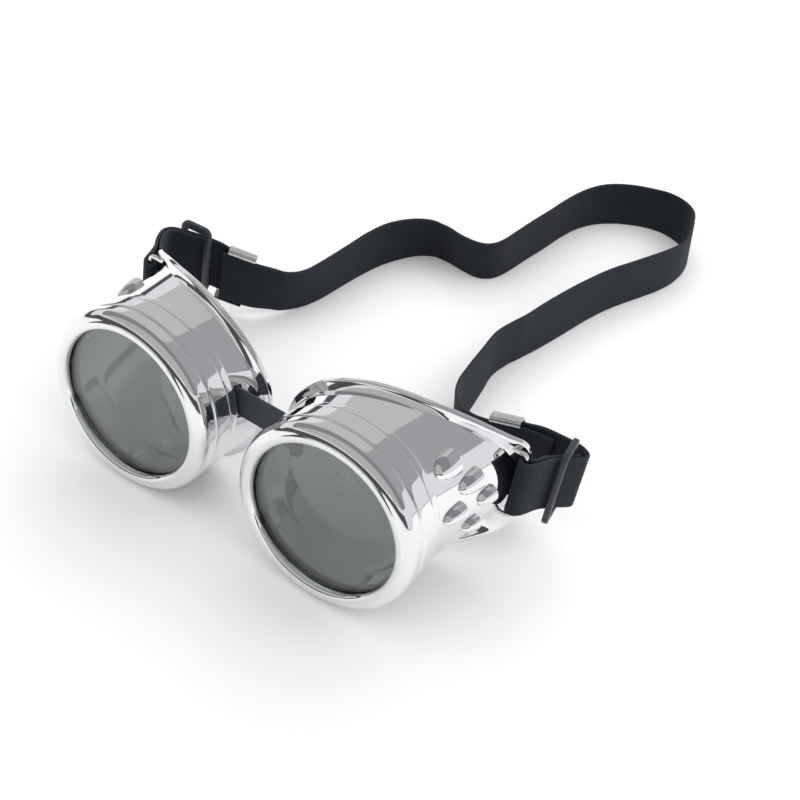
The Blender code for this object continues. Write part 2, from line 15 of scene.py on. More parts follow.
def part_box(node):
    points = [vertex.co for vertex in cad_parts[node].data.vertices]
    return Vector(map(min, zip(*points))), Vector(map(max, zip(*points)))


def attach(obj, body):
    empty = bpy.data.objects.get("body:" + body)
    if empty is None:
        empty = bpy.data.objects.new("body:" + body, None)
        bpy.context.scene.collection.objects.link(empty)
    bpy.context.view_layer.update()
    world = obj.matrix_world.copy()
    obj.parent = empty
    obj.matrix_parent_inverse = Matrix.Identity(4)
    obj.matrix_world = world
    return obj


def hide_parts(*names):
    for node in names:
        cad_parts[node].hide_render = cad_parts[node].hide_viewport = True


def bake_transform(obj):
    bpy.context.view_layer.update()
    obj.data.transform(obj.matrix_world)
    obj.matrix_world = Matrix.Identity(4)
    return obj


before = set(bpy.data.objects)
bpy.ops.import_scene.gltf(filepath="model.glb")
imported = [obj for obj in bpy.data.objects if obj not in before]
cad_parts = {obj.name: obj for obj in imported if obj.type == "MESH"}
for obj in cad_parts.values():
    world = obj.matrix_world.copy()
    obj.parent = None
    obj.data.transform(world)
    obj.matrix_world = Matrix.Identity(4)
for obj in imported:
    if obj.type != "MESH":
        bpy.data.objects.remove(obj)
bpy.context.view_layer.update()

MM = 0.001
SIDES = {"right": -1.0, "left": 1.0}

# Where the goggles stand in the frame, read from the two cover lenses.
COVER_LENS_Y = (1.2, 2.3)
left_low, left_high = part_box("cover_lens_left")
right_low, right_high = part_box("cover_lens_right")
ORIGIN = Vector((
    (right_low.x + left_high.x) / 2.0,
    left_low.y - COVER_LENS_Y[0] * MM,
    (left_low.z + left_high.z) / 2.0,
))
CUP_X = (left_low.x + left_high.x - right_low.x - right_high.x) / 4.0 / MM
FLOOR_Z = -ORIGIN.z / MM

TURNED_SEGMENTS = 192
CORNER_STEPS = 4
MOST_SOFTNESS = 0.498
MOST_CORNER_SHARE = 0.49

# Profiles, as (radius, y, softness). A corner's softness is the share of its two edges that
# its curve takes up, so 0.5 runs two corners into one curve.
RING_PROFILE = (
    (24.0, 1.0, 0.3), (24.0, 0.1, 0.3), (24.35, -0.75, 0.4), (25.2, -1.2, 0.3), (26.5, -1.22, 0.2),
    (26.85, -0.95, 0.25), (28.0, -0.4, 0.5), (28.9, 0.5, 0.5), (29.5, 2.0, 0.3), (29.45, 5.0, 0.08),
    (28.75, 5.3, 0.35), (28.75, 5.9, 0.35), (29.35, 6.2, 0.3), (29.35, 11.8, 0.06),
    (28.9, 12.1, 0.35), (27.0, 12.1, 0.1), (27.0, 5.9, 0.1), (25.4, 5.9, 0.2), (25.4, 1.0, 0.2),
)
THREAD_TURNS, THREAD_SPACING = 4, 1.35
THREAD = tuple(
    (radius, y + THREAD_SPACING * turn, 0.3)
    for turn in range(THREAD_TURNS)
    for radius, y in ((26.7, 6.9), (26.25, 7.35), (26.7, 7.8))
)
SPIGOT_PROFILE = (
    ((24.4, 6.2, 0.2), (26.4, 6.2, 0.3)) + THREAD
    + ((26.7, 12.4, 0.2), (28.6, 12.4, 0.1), (28.9, 12.7, 0.35), (28.9, 14.9, 0.15))
    + ((28.1, 15.6, 0.04),)
)
BORE_PROFILE = ((26.3, 16.0, 0.3), (24.4, 13.5, 0.2))
# The rolled rim, as (inset from its outline, y from its depth, softness), front to inside.
RIM_ROLL = (
    (1.1, -2.7, 0.3), (0.0, -2.2, 0.35), (0.0, -0.5, 0.3),
    (0.6, 0.0, 0.35), (1.9, 0.0, 0.3), (2.4, -0.6, 0.3),
)
WALL_SOFTNESS = 0.07

# Upper halves of the (a, b) outlines of the rim and of the wall where it meets the rim.
RIM_TOP_HALF = (
    (-32.5, 0.0), (-31.5, 8.5), (-27.5, 16.5), (-20.0, 24.2), (-10.0, 29.4), (0.0, 30.7),
    (10.0, 29.0), (20.0, 25.4), (29.0, 20.4), (34.0, 16.7), (36.5, 8.5), (37.2, 0.0),
)
WALL_TOP_HALF = (
    (-30.6, 0.0), (-29.4, 8.0), (-25.6, 15.3), (-18.6, 22.0), (-9.5, 26.8), (0.0, 28.2),
    (10.0, 26.6), (18.0, 23.2), (25.0, 18.4), (30.0, 12.2), (32.8, 6.0), (33.6, 0.0),
)
LOWER_HALF_HEIGHT = 0.958
OUTLINE_STEPS = 10
WALL_SEARCH_STEPS = 2
WALL_ROWS = 10
WALL_THICKNESS = 1.8
LIP_DEPTH = 3.6
INSIDE_LIP_DEPTH = 3.4
# Depth of the rim: constant, linear and square terms in a / RIM_DEPTH_UNIT.
RIM_DEPTH = (29.3, 10.1, 8.3)
RIM_DEPTH_UNIT = 30.0

# Slot for the nose strip, as ranges of a, y and b.
NOSE_SLOT = ((-29.5, -22.2), (16.3, 18.9), (1.8, 12.2))
# The lug's bar follows an (a, b) line at one depth.
LUG_Y = 47.9
LUG_HALF_SIZE = (0.62, 0.6)
LUG_LINE = ((26.6, 15.2), (35.6, 15.2), (35.6, -8.5), (29.8, -8.5))
LUG_BEND = 1.6
LUG_CORNER = 0.4
# Vents, as (angle round the wall in degrees, y of the open end, length, width).
VENTS = (
    (40.0, 26.9, 8.5, 8.2), (23.0, 33.5, 8.6, 7.0), (8.5, 38.6, 6.5, 6.0),
    (11.0, 25.2, 8.0, 6.0), (-5.5, 33.1, 6.0, 5.5),
)
VENT_HEIGHT = 2.6
VENT_SKIN = 0.9
VENT_ROOT_DEPTH = 1.2
VENT_CUT_DEPTH = 4.0
VENT_CUT_PAST_EDGE = 0.5
VENT_RINGS = 14
VENT_COLUMNS = 40

LENS_RADIUS = 25.0
LENS_BEVEL = 0.15
# The cover lens has a raised front face, as (radius, depth).
COVER_STEP = (23.7, 0.15)
COVER_BEVEL = 0.05
FILTER_LENS_Y = (2.6, 4.6)
GASKET_Y = (4.9, 5.9)
GASKET_INNER_RADIUS = 23.4
GASKET_SOFTNESS = 0.25

BRIDGE_Y, BRIDGE_Z = 17.6, 7.0
BRIDGE_WIDTH, BRIDGE_THICKNESS = 9.6, 1.2
BRIDGE_HALF_LENGTH = 16.4
BRIDGE_CORNER = 0.45
BRIDGE_STEPS = 80

WEB_WIDTH, WEB_THICKNESS = 20.0, 1.1
WEB_STEP = 0.3
# Heights of the section's points, as shares of the width, between its two selvedges.
WEB_HEIGHTS = (0.012, 0.04, 0.12, 0.3, 0.5, 0.7, 0.88, 0.96, 0.988)
SELVEDGE_THICKNESS = 0.45
SELVEDGE_SHARE = 0.03
RIB_PITCH = 0.9
RIB_HEIGHT = 0.022
EDGE_SCALLOP = 0.11

# The head strap's route, as (x, y, height of its lower edge off the floor, lean in degrees).
HEAD_ROUTE = (
    (69.0, 75.9, 12.5, 0), (64.5, 76.6, 11.6, 0), (59.5, 76.8, 10.8, 0),
    (54.6, 76.3, 9.8, 0), (49.5, 75.5, 8.6, 0), (44.5, 75.6, 7.4, 0),
    (40.5, 77.5, 5.9, -2), (36.3, 81.8, 4.0, -5), (31.2, 89.2, 1.8, -8),
    (27.8, 98.0, 0.5, -9), (26.3, 107.5, 0.0, -10), (23.8, 121.4, 0.0, -8),
    (21.4, 133.8, 0.0, -5), (21.9, 144.3, 0.0, -3), (23.7, 153.0, 0.0, -4),
    (26.2, 166.0, 0.0, -8), (28.6, 182.0, 0.0, -9), (30.5, 196.0, 0.0, -7.5),
    (33.2, 210.6, 0.0, -6), (36.9, 224.0, 0.0, -4.5), (41.0, 236.5, 0.0, -5),
    (44.3, 248.0, 0.0, -5), (46.0, 260.0, 0.0, -3), (45.8, 272.0, 0.0, -7),
    (43.0, 284.0, 0.0, -8), (37.5, 293.0, 0.0, -3), (30.0, 297.8, 0.0, 2),
    (22.0, 299.0, 0.0, 4), (14.0, 296.3, 0.0, 3.5), (6.5, 291.0, 0.0, 6),
    (0.0, 283.8, 0.0, 7), (-4.6, 275.5, 0.0, 5), (-7.6, 265.0, 0.0, 3),
    (-9.0, 252.0, 0.0, 2.5), (-9.6, 238.0, 0.0, 2), (-10.7, 222.0, 0.0, 1),
    (-11.5, 207.0, 0.0, 0), (-13.5, 197.0, 0.0, -5), (-18.2, 192.3, 0.0, -15),
    (-25.5, 192.3, 0.0, -18), (-33.5, 193.4, 0.0, -17), (-40.2, 192.4, 0.0, -16),
    (-45.3, 187.6, 0.0, -10), (-49.0, 179.5, 0.0, -3), (-52.0, 168.5, 0.0, 1),
    (-53.5, 155.0, 0.0, 0), (-54.0, 142.0, 0.0, -2.5), (-54.3, 130.0, 0.0, -4),
    (-55.3, 121.7, 0.0, -7), (-57.1, 114.9, 0.3, -11), (-59.2, 108.7, 1.2, -12),
    (-61.8, 104.2, 2.5, -9), (-64.9, 99.5, 3.7, -4), (-68.6, 96.3, 4.6, -1),
    (-74.2, 93.3, 5.8, 0), (-76.2, 92.2, 6.2, 0),
)
# The side straps' routes along the middle of their width.
LEFT_SIDE_ROUTE = (
    (80.1, 69.1, -1.9), (78.0, 65.5, -1.2), (75.7, 61.4, -0.3), (74.4, 58.0, 0.9),
    (73.8, 55.4, 2.0), (73.6, 53.6, 2.6), (73.5, 52.2, 3.0), (73.0, 50.7, 3.3),
    (72.2, 49.8, 3.5), (71.2, 49.5, 3.5), (70.07, 49.03, 3.5), (69.6, 47.9, 3.5),
    (70.07, 46.77, 3.5), (71.2, 46.3, 3.5), (72.5, 46.8, 3.5), (73.7, 48.3, 3.4),
    (74.6, 50.6, 3.1), (75.3, 54.0, 2.3), (76.1, 58.0, 0.9), (77.6, 61.9, -0.5),
    (79.6, 65.4, -1.3), (80.8, 67.5, -1.9), (81.9, 70.0, -2.6), (81.3, 73.0, -3.2),
    (78.6, 75.3, -3.7), (74.8, 76.4, -4.2), (71.0, 77.0, -4.7), (64.5, 78.0, -5.9),
    (59.5, 78.3, -7.5), (54.6, 77.8, -8.7), (49.5, 76.9, -9.9),
)
RIGHT_SIDE_ROUTE = (
    (-79.4, 89.85, -9.4), (-82.5, 87.3, -8.4), (-85.0, 85.3, -7.6), (-88.2, 82.6, -6.6),
    (-89.9, 80.2, -5.7), (-89.9, 77.3, -5.0), (-87.6, 72.7, -3.8), (-84.0, 67.5, -2.5),
    (-80.2, 62.9, -1.2), (-76.8, 59.1, 0.2), (-74.7, 56.4, 1.3), (-73.8, 54.2, 2.0),
    (-73.5, 52.2, 2.4), (-73.0, 50.7, 2.7), (-72.2, 49.8, 2.8), (-71.2, 49.5, 2.8),
    (-70.07, 49.03, 2.8), (-69.6, 47.9, 2.8), (-70.07, 46.77, 2.8), (-71.2, 46.3, 2.8),
    (-72.5, 46.8, 2.8), (-73.8, 48.3, 2.7), (-75.1, 50.8, 2.4), (-76.8, 54.2, 1.6),
    (-79.1, 58.2, 0.5), (-81.8, 62.2, -0.9), (-85.3, 66.6, -2.4), (-88.9, 71.9, -3.8),
    (-91.4, 76.9, -4.9), (-91.4, 80.8, -5.6), (-89.2, 83.7, -6.4), (-85.4, 86.8, -7.5),
    (-81.2, 90.2, -9.0), (-77.8, 93.0, -10.6), (-74.9, 94.6, -12.0), (-71.5, 96.4, -13.2),
    (-67.6, 98.8, -14.6),
)

SLIDER_HEIGHT, SLIDER_WIDTH, SLIDER_THICKNESS = 28.0, 12.8, 2.0
SLIDER_BAR, SLIDER_END = 2.4, 2.8
SLIDER_CORNERS = (3.0, 0.6)
SLIDER_SOFTNESS = 0.28
SLIDER_OFFSET = -0.77
# Sliders, as (point on the strap, its level direction, outward sign, turn about z in degrees).
SLIDERS = {
    "left": ((78.79, 63.99, -0.95), (0.5, 0.866), 1.0, 37.5),
    "right": ((-84.9, 87.2, -7.7), (0.775, 0.632), -1.0, 36.0),
}
CLIP_LENGTH = 10.5
CLIP_STEPS = 60
CLIP_CHAMFER = 0.12
CLIP_END_INSET = 0.1
CLIP_PLAIN_END = 0.9
CLIP_RIB_PITCH, CLIP_RIB_HALF_HEIGHT = 1.45, 0.07
CLIP_RIBBED_HALF_WIDTH = 9.5
# Section, as (distance off the webbing's face, height across it), its plain back first.
CLIP_SECTION = (
    (2.5, -11.6), (2.5, 11.6), (-2.5, 11.6), (-2.5, 9.7), (-2.0, 9.7),
    (-2.0, 11.1), (2.0, 11.1), (2.0, -11.1), (-1.2, -11.1), (-1.2, -11.6),
)
CLIP_RADII = (1.0, 2.2, 2.2, 0.2, 0.2, 1.7, 1.7, 0.6, 0.2, 0.2)
# Clips, as (centre, strap's direction).
CLIPS = {
    "left": ((54.5, 77.05, -9.2), (-0.99, -0.13, -0.22)),
    "right": ((-71.85, 95.4, -13.7), (-0.881, -0.472, 0.2)),
}

# Camera, with the rows of its turning matrix.
CAMERA_POINT = (147.48, -199.59, 217.42)
CAMERA_AXES = (
    (0.8260, -0.4439, 0.3474), (0.5382, 0.4377, -0.7203), (0.1677, 0.7819, 0.6004),
)
CAMERA_LENS = 51.75
SENSOR_WIDTH = 36.0

# Lamps, as (centre, length of a side in metres, watts). Here and in the room, left and
# right are as the camera sees them.
LAMPS = {
    "overhead_softbox": ((-250.0, 350.0, 1100.0), 3.0, 21.0),
    "front_softbox": ((-700.0, -1300.0, 650.0), 2.0, 10.0),
    "right_softbox": ((1300.0, 300.0, 650.0), 2.0, 10.0),
    "rear_softbox": ((-300.0, 1600.0, 700.0), 2.0, 10.0),
}
LAMP_TARGET = (0.0, 100.0, 0.0)
FLOOR_REACH = 4.0

# Tones of the room.
WALL_TONE = (0.84, 0.85, 0.87)
LEFT_SKY, RIGHT_SKY = (0.60, 0.585, 0.565), (0.40, 0.40, 0.42)
OVERHEAD_SKY, FRONT_SKY = (0.27, 0.275, 0.285), (0.52, 0.505, 0.49)
LOW_FRONT_TONE, FAR_LEFT_TONE = (0.09, 0.09, 0.095), (0.1, 0.1, 0.105)


def place(point):
    """Point of the frame, in metres, from goggle coordinates."""
    return ORIGIN + Vector(point) * MM


# ---------------------------------------------------------------- materials


def new_material(name):
    """Material, with its node tree and its Principled shader."""
    material = bpy.data.materials.new(name)
    material.use_nodes = True
    tree = material.node_tree
    return material, tree, tree.nodes["Principled BSDF"]


def add_node(tree, kind, values=None, **settings):
    """Node with its settings, and with socket values by index or name."""
    node = tree.nodes.new(kind)
    for key, value in settings.items():
        setattr(node, key, value)
    for key, value in (values or {}).items():
        node.inputs[key].default_value = value
    return node


def link(tree, output, target):
    """Join two sockets."""
    tree.links.new(output, target)


def noise(tree, scale, detail=3.0, vector=None):
    """Noise factor over the object's own coordinates."""
    node = add_node(tree, "ShaderNodeTexNoise", {"Scale": scale, "Detail": detail})
    if vector is None:
        vector = add_node(tree, "ShaderNodeTexCoord").outputs["Object"]
    link(tree, vector, node.inputs["Vector"])
    return node.outputs["Fac"]


def ranged(tree, value, low, high, start=0.3, end=0.7):
    """Value mapped from start..end to low..high."""
    node = add_node(tree, "ShaderNodeMapRange", {1: start, 2: end, 3: low, 4: high})
    link(tree, value, node.inputs[0])
    return node.outputs[0]


def blended(tree, factor, first, second):
    """Colour mixed by a factor, where either colour may be a socket."""
    node = add_node(tree, "ShaderNodeMix", data_type="RGBA")
    link(tree, factor, node.inputs[0])
    for index, colour in ((6, first), (7, second)):
        if isinstance(colour, tuple):
            node.inputs[index].default_value = (*colour, 1.0)
        else:
            link(tree, colour, node.inputs[index])
    return node.outputs[2]


def maths(tree, operation, first, second=None):
    """Math node on sockets or numbers."""
    node = add_node(tree, "ShaderNodeMath", operation=operation)
    for index, value in enumerate((first, second)):
        if value is None:
            continue
        if isinstance(value, (int, float)):
            node.inputs[index].default_value = value
        else:
            link(tree, value, node.inputs[index])
    return node.outputs[0]


def bump(tree, shader, height, strength, distance):
    """Bump from a height onto the shader."""
    node = add_node(tree, "ShaderNodeBump", {"Strength": strength, "Distance": distance})
    link(tree, height, node.inputs["Height"])
    link(tree, node.outputs["Normal"], shader.inputs["Normal"])


def chrome_material():
    """Vacuum-metallised plastic: near mirror, with a faint orange peel and wiped smudges."""
    material, tree, shader = new_material("chrome_plate")
    shader.inputs["Metallic"].default_value = 1.0
    patches = ranged(tree, noise(tree, 45.0), 0.0, 1.0)
    tone = blended(tree, patches, (0.79, 0.795, 0.805), (0.83, 0.833, 0.84))
    link(tree, tone, shader.inputs["Base Color"])
    smudge = ranged(tree, noise(tree, 110.0, 6.0), 0.015, 0.06, 0.42, 0.75)
    link(tree, smudge, shader.inputs["Roughness"])
    bump(tree, shader, noise(tree, 160.0, 2.0), 0.03, 0.0004)
    return material


def glass_material(name, tint):
    """Polished lens glass with a slightly uneven tint."""
    material, tree, shader = new_material(name)
    shader.inputs["Transmission Weight"].default_value = 1.0
    shader.inputs["IOR"].default_value = 1.5
    darker = tuple(channel * 0.96 for channel in tint)
    tone = blended(tree, ranged(tree, noise(tree, 60.0), 0.0, 1.0), tint, darker)
    link(tree, tone, shader.inputs["Base Color"])
    shader.inputs["Roughness"].default_value = 0.0
    return material


def plain_material(name, dark, light, roughness, grain, strength, metallic=0.0, stretch=None):
    """Moulded, rubber or rolled surface with grain in its colour, gloss and relief."""
    material, tree, shader = new_material(name)
    shader.inputs["Metallic"].default_value = metallic
    vector = None
    if stretch is not None:
        mapping = add_node(tree, "ShaderNodeMapping", {"Scale": stretch})
        link(tree, add_node(tree, "ShaderNodeTexCoord").outputs["Object"], mapping.inputs["Vector"])
        vector = mapping.outputs["Vector"]
    fine = noise(tree, grain, 4.0, vector)
    tone = blended(tree, ranged(tree, fine, 0.0, 1.0), dark, light)
    link(tree, tone, shader.inputs["Base Color"])
    gloss = ranged(tree, noise(tree, grain * 0.12, 3.0, vector), roughness * 0.85, roughness * 1.15)
    link(tree, gloss, shader.inputs["Roughness"])
    bump(tree, shader, fine, strength, 0.0002)
    return material


def webbing_material():
    """Woven elastic: ribs across the width, fine weft threads and paler selvedges.

    The UV map holds the length along the strap and the height across it, in metres.
    """
    material, tree, shader = new_material("elastic_webbing")
    uv = add_node(tree, "ShaderNodeUVMap", uv_map="weave").outputs["UV"]
    split = add_node(tree, "ShaderNodeSeparateXYZ")
    link(tree, uv, split.inputs[0])
    along, across = split.outputs[0], split.outputs[1]
    turn = 2.0 * math.pi / (RIB_PITCH * MM)
    ribs = maths(tree, "COSINE", maths(tree, "MULTIPLY", along, turn))
    weft = maths(tree, "COSINE", maths(tree, "MULTIPLY", across, turn * 2.2))
    offset = maths(tree, "COSINE", maths(tree, "MULTIPLY", along, turn * 0.5))
    threads = maths(tree, "MULTIPLY", maths(tree, "MULTIPLY", weft, offset), 0.45)
    weave = maths(tree, "ADD", ribs, threads)
    fibre = noise(tree, 2600.0, 4.0)
    wash = noise(tree, 38.0, 3.0)
    relief = ranged(tree, weave, 0.0, 0.55, -1.4, 1.4)
    level = maths(tree, "ADD", relief, ranged(tree, fibre, 0.0, 0.35))
    level = maths(tree, "MULTIPLY", level, ranged(tree, wash, 0.75, 1.15))
    cloth = blended(tree, level, (0.0085, 0.0115, 0.0155), (0.0165, 0.021, 0.0275))
    half_width = WEB_WIDTH / 2.0
    off_middle = maths(tree, "ABSOLUTE", maths(tree, "SUBTRACT", across, half_width * MM))
    selvedge = ranged(tree, off_middle, 0.0, 0.5, (half_width - 1.1) * MM, (half_width - 0.6) * MM)
    cloth = blended(tree, selvedge, cloth, (0.03, 0.037, 0.046))
    link(tree, cloth, shader.inputs["Base Color"])
    link(tree, ranged(tree, fibre, 0.78, 0.95), shader.inputs["Roughness"])
    shader.inputs["Sheen Weight"].default_value = 0.05
    shader.inputs["Sheen Roughness"].default_value = 0.5
    shader.inputs["Specular IOR Level"].default_value = 0.25
    height = maths(tree, "ADD", weave, maths(tree, "MULTIPLY", fibre, 0.8))
    bump(tree, shader, height, 0.3, 0.00008)
    return material


# ------------------------------------------------------------------- meshes


def mesh_object(name, verts, faces, material, sharp=40.0, uvs=None):
    """Mesh from points in goggle coordinates, with outward normals."""
    mesh = bpy.data.meshes.new(name)
    mesh.from_pydata([place(v) for v in verts], [], faces)
    if uvs is not None:
        layer = mesh.uv_layers.new(name="weave")
        for loop in mesh.loops:
            layer.data[loop.index].uv = uvs[loop.vertex_index]
    work = bmesh.new()
    work.from_mesh(mesh)
    bmesh.ops.recalc_face_normals(work, faces=work.faces)
    work.to_mesh(mesh)
    work.free()
    mesh.shade_smooth()
    mesh.set_sharp_from_angle(angle=math.radians(sharp))
    if material is not None:
        mesh.materials.append(material)
    obj = bpy.data.objects.new(name, mesh)
    bpy.context.scene.collection.objects.link(obj)
    return obj


def loft_ring(rows):
    """Verts and faces of a ring of closed rows."""
    count = len(rows[0])
    verts = [point for row in rows for point in row]
    faces = []
    for i in range(len(rows)):
        here, after = i * count, ((i + 1) % len(rows)) * count
        for j in range(count):
            k = (j + 1) % count
            faces.append((here + j, here + k, after + k, after + j))
    return verts, faces


def loft_solid(rows):
    """Verts and faces of closed rows in a line, with flat ends."""
    count = len(rows[0])
    verts = [point for row in rows for point in row]
    faces = [tuple(range(count)), tuple(range(len(verts) - 1, len(verts) - 1 - count, -1))]
    for i in range(len(rows) - 1):
        for j in range(count):
            k = (j + 1) % count
            faces.append((i * count + j, i * count + k, (i + 1) * count + k, (i + 1) * count + j))
    return verts, faces


def corner_curve(start, corner, end, steps):
    """Points of a short curve from start to end, drawn towards a corner."""
    out = []
    for k in range(steps + 1):
        t = k / steps
        out.append(tuple(start * (1 - t) ** 2 + corner * (2 * t * (1 - t)) + end * t ** 2))
    return out


def soften(points, softness):
    """Closed line of points with each corner turned into a curve by its softness."""
    points = [Vector(p) for p in points]
    out = []
    for i, point in enumerate(points):
        share = min(softness[i], MOST_SOFTNESS)
        start = point + (points[i - 1] - point) * share
        end = point + (points[(i + 1) % len(points)] - point) * share
        out += corner_curve(start, point, end, CORNER_STEPS)
    return out


def round_off(points, radii, closed, steps=6):
    """Line of points with its corners turned into curves of given sizes, in millimetres."""
    points = [Vector(p) for p in points]
    count = len(points)
    out = []
    for i, (point, radius) in enumerate(zip(points, radii)):
        if not closed and i in (0, count - 1):
            out.append(tuple(point))
            continue
        to_before = points[i - 1] - point
        to_after = points[(i + 1) % count] - point
        reach_back = min(radius, to_before.length * MOST_CORNER_SHARE)
        reach_on = min(radius, to_after.length * MOST_CORNER_SHARE)
        start = point + to_before.normalized() * reach_back
        end = point + to_after.normalized() * reach_on
        out += corner_curve(start, point, end, steps)
    return out


def circle_row(radius, y, angles, x=0.0):
    """Points round a lens axis at the given angles."""
    return [(x + radius * math.cos(t), y, radius * math.sin(t)) for t in angles]


def even_angles(count):
    """Evenly spaced angles of a full turn."""
    return [2.0 * math.pi * i / count for i in range(count)]


def blend_point(p0, p1, p2, p3, t):
    """Catmull-Rom point between p1 and p2, of any dimension."""
    out = []
    for q0, q1, q2, q3 in zip(p0, p1, p2, p3):
        linear = (q2 - q0) * t
        square = (2.0 * q0 - 5.0 * q1 + 4.0 * q2 - q3) * t * t
        cubic = (3.0 * q1 - q0 - 3.0 * q2 + q3) * t ** 3
        out.append(0.5 * (2.0 * q1 + linear + square + cubic))
    return tuple(out)


def closed_outline(top_half, steps):
    """Closed smooth outline from its upper half, with a slightly shallower lower half."""
    lower = [(a, -b * LOWER_HALF_HEIGHT) for a, b in reversed(top_half[1:-1])]
    points = list(top_half) + lower
    count = len(points)
    out = []
    for i in range(count):
        around = (points[i - 1], points[i], points[(i + 1) % count], points[(i + 2) % count])
        out += [blend_point(*around, step / steps) for step in range(steps)]
    return out


def inset_outline(outline, distance):
    """Outline moved inward along its own normals."""
    count = len(outline)
    out = []
    for i, (a, b) in enumerate(outline):
        before, after = outline[i - 1], outline[(i + 1) % count]
        tangent = Vector((after[0] - before[0], after[1] - before[1])).normalized()
        normal = Vector((-tangent.y, tangent.x))
        if normal.dot(Vector((a, b))) > 0.0:
            normal = -normal
        out.append((a + normal.x * distance, b + normal.y * distance))
    return out


def rim_y(a):
    """Depth of the face rim, which sweeps back towards the temple."""
    u = a / RIM_DEPTH_UNIT
    return RIM_DEPTH[0] + RIM_DEPTH[1] * u + RIM_DEPTH[2] * u * u


def mix_rows(row, other, part):
    """Row a given part of the way from one row to another."""
    return [tuple(p + (q - p) * part for p, q in zip(*pair)) for pair in zip(row, other)]


def cup_rows():
    """Rows of the eyecup: spigot and thread, wall, rolled rim, and back inside."""
    rim = closed_outline(RIM_TOP_HALF, OUTLINE_STEPS)
    wall = closed_outline(WALL_TOP_HALF, OUTLINE_STEPS)
    angles = [math.atan2(b, a) for a, b in rim]
    depth = [rim_y(a) for a, _ in rim]

    def row(outline, inset, offset):
        """Outline row at a given inset, offset in y from the rim."""
        moved = inset_outline(outline, inset)
        return [(a, y + offset, b) for (a, b), y in zip(moved, depth)]

    front = [circle_row(r, y, angles) for r, y, _ in SPIGOT_PROFILE]
    bore = [circle_row(r, y, angles) for r, y, _ in BORE_PROFILE]
    wall_end = row(wall, 0.0, -LIP_DEPTH)
    inner_end = row(wall, WALL_THICKNESS, -INSIDE_LIP_DEPTH)
    middle = [wall_end] + [row(rim, inset, y) for inset, y, _ in RIM_ROLL] + [inner_end]
    softness = [s for _, _, s in SPIGOT_PROFILE] + [WALL_SOFTNESS] + [s for _, _, s in RIM_ROLL]
    softness += [WALL_SOFTNESS] + [s for _, _, s in BORE_PROFILE]
    columns = [soften(column, softness) for column in zip(*(front + middle + bore))]
    rows = [list(points) for points in zip(*columns)]
    span = CORNER_STEPS + 1
    wall_start = len(front) * span - 1
    inside_start = (len(front) + len(middle)) * span - 1
    out = []
    for i, here in enumerate(rows):
        out.append(here)
        if i in (wall_start, inside_start):
            after = rows[i + 1]
            out += [mix_rows(here, after, k / WALL_ROWS) for k in range(1, WALL_ROWS)]
    return out


def wall_point(theta, y):
    """Point on the outside of the eyecup wall, and its rearward, sideways and outward ways."""
    rim = closed_outline(RIM_TOP_HALF, WALL_SEARCH_STEPS)
    wall = closed_outline(WALL_TOP_HALF, WALL_SEARCH_STEPS)

    def off_angle(pair):
        """How far a column of the wall is from the angle asked for."""
        return abs(math.remainder(math.atan2(pair[1][1], pair[1][0]) - theta, math.tau))

    (rim_a, _), (wall_a, wall_b) = min(zip(rim, wall), key=off_angle)
    reach = math.hypot(wall_a, wall_b)
    start_r, start_y, _ = SPIGOT_PROFILE[-1]
    end_y = rim_y(rim_a) - LIP_DEPTH
    radius = start_r + (reach - start_r) * (y - start_y) / (end_y - start_y)
    radial = Vector((math.cos(theta), 0.0, math.sin(theta)))
    along = (radial * (reach - start_r) + Vector((0.0, end_y - start_y, 0.0))).normalized()
    sideways = Vector((-radial.z, 0.0, radial.x))
    outward = sideways.cross(along).normalized()
    if outward.dot(radial) < 0.0:
        outward = -outward
    return radial * radius + Vector((0.0, y, 0.0)), along, sideways, outward


def box_piece(ranges):
    """Box from (a, y, b) ranges."""
    (a0, a1), (y0, y1), (b0, b1) = ranges
    front = [(a0, y0, b0), (a1, y0, b0), (a1, y0, b1), (a0, y0, b1)]
    return loft_solid([front, [(a, y1, b) for a, _, b in front]])


def vent_piece(vent, skin, root_depth, past_edge):
    """Half-dome of a vent hood, flat side to the rear, or its hollow at a given skin."""
    theta, rear_y, length, width = vent
    centre, along, sideways, outward = wall_point(math.radians(theta), rear_y)
    rows = []
    for ring in range(VENT_RINGS):
        lap = 0.5 * math.pi * ring / VENT_RINGS
        forward = math.sin(lap) * (length - skin) if ring else -past_edge
        row = []
        for angle in even_angles(VENT_COLUMNS):
            across = math.cos(lap) * math.cos(angle) * (width / 2.0 - skin)
            rise = VENT_HEIGHT - skin if math.sin(angle) > 0.0 else root_depth
            lift = math.cos(lap) * math.sin(angle) * rise
            row.append(tuple(centre - along * forward + sideways * across + outward * lift))
        rows.append(row)
    return loft_solid(rows)


def lug_piece():
    """Strap lug: a rounded bar that stands off the temple wall in front of the rim."""
    outline = round_corners(*LUG_HALF_SIZE, LUG_CORNER, 4)
    line = [Vector(p) for p in round_off(LUG_LINE, [LUG_BEND] * len(LUG_LINE), False, 10)]
    rows = []
    for i, point in enumerate(line):
        tangent = (line[min(i + 1, len(line) - 1)] - line[max(i - 1, 0)]).normalized()
        normal = Vector((-tangent.y, tangent.x))
        across = [(point + normal * w, h) for w, h in outline]
        rows.append([(spot.x, LUG_Y + h, spot.y) for spot, h in across])
    return loft_solid(rows)


